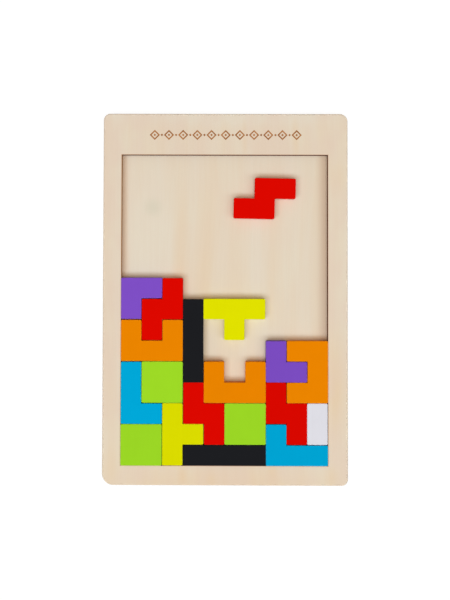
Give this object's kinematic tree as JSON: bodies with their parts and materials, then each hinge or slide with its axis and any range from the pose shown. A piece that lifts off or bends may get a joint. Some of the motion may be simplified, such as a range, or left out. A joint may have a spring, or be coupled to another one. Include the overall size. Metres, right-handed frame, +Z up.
{
  "type": "tetromino puzzle",
  "caption": "Flat wooden packing puzzle: a shallow framed tray of pale plywood with painted blocks made of square cells packed at one end and one lying loose.",
  "frame": {"origin": "middle of the tray's underside", "axes": "+X to the right and +Y towards the wide top rail, as seen from above; +Z up out of the play field"},
  "size_m": [0.179, 0.271, 0.01],
  "materials": {
    "birch_pale": "pale bare plywood, faint grain",
    "birch": "pale bare plywood, laser-browned inner edge",
    "violet_paint": "wood under smooth satin violet paint",
    "red_paint": "wood under smooth satin red paint",
    "orange_paint": "wood under smooth satin orange paint",
    "black_paint": "wood under smooth satin black paint",
    "yellow_paint": "wood under smooth satin yellow paint",
    "blue_paint": "wood under smooth satin blue paint",
    "green_paint": "wood under smooth satin green paint",
    "white_paint": "wood under smooth satin white paint"
  },
  "bodies": {
    "root": {"base_board": "birch_pale", "frame": "birch", "violet_corner_left": "violet_paint", "red_zigzag_left": "red_paint", "orange_cup_left": "orange_paint", "black_bar_upright": "black_paint", "yellow_tee_upper": "yellow_paint", "blue_hook_left": "blue_paint", "green_square_left": "green_paint", "yellow_tee_lower": "yellow_paint", "green_square_bottom": "green_paint", "red_zigzag_middle": "red_paint", "orange_cup_middle": "orange_paint", "green_square_middle": "green_paint", "black_bar_lying": "black_paint", "violet_corner_right": "violet_paint", "orange_cup_right": "orange_paint", "red_zigzag_right": "red_paint", "white_domino": "white_paint", "blue_hook_right": "blue_paint", "red_zigzag_loose": "red_paint"}
  },
  "joints": []
}
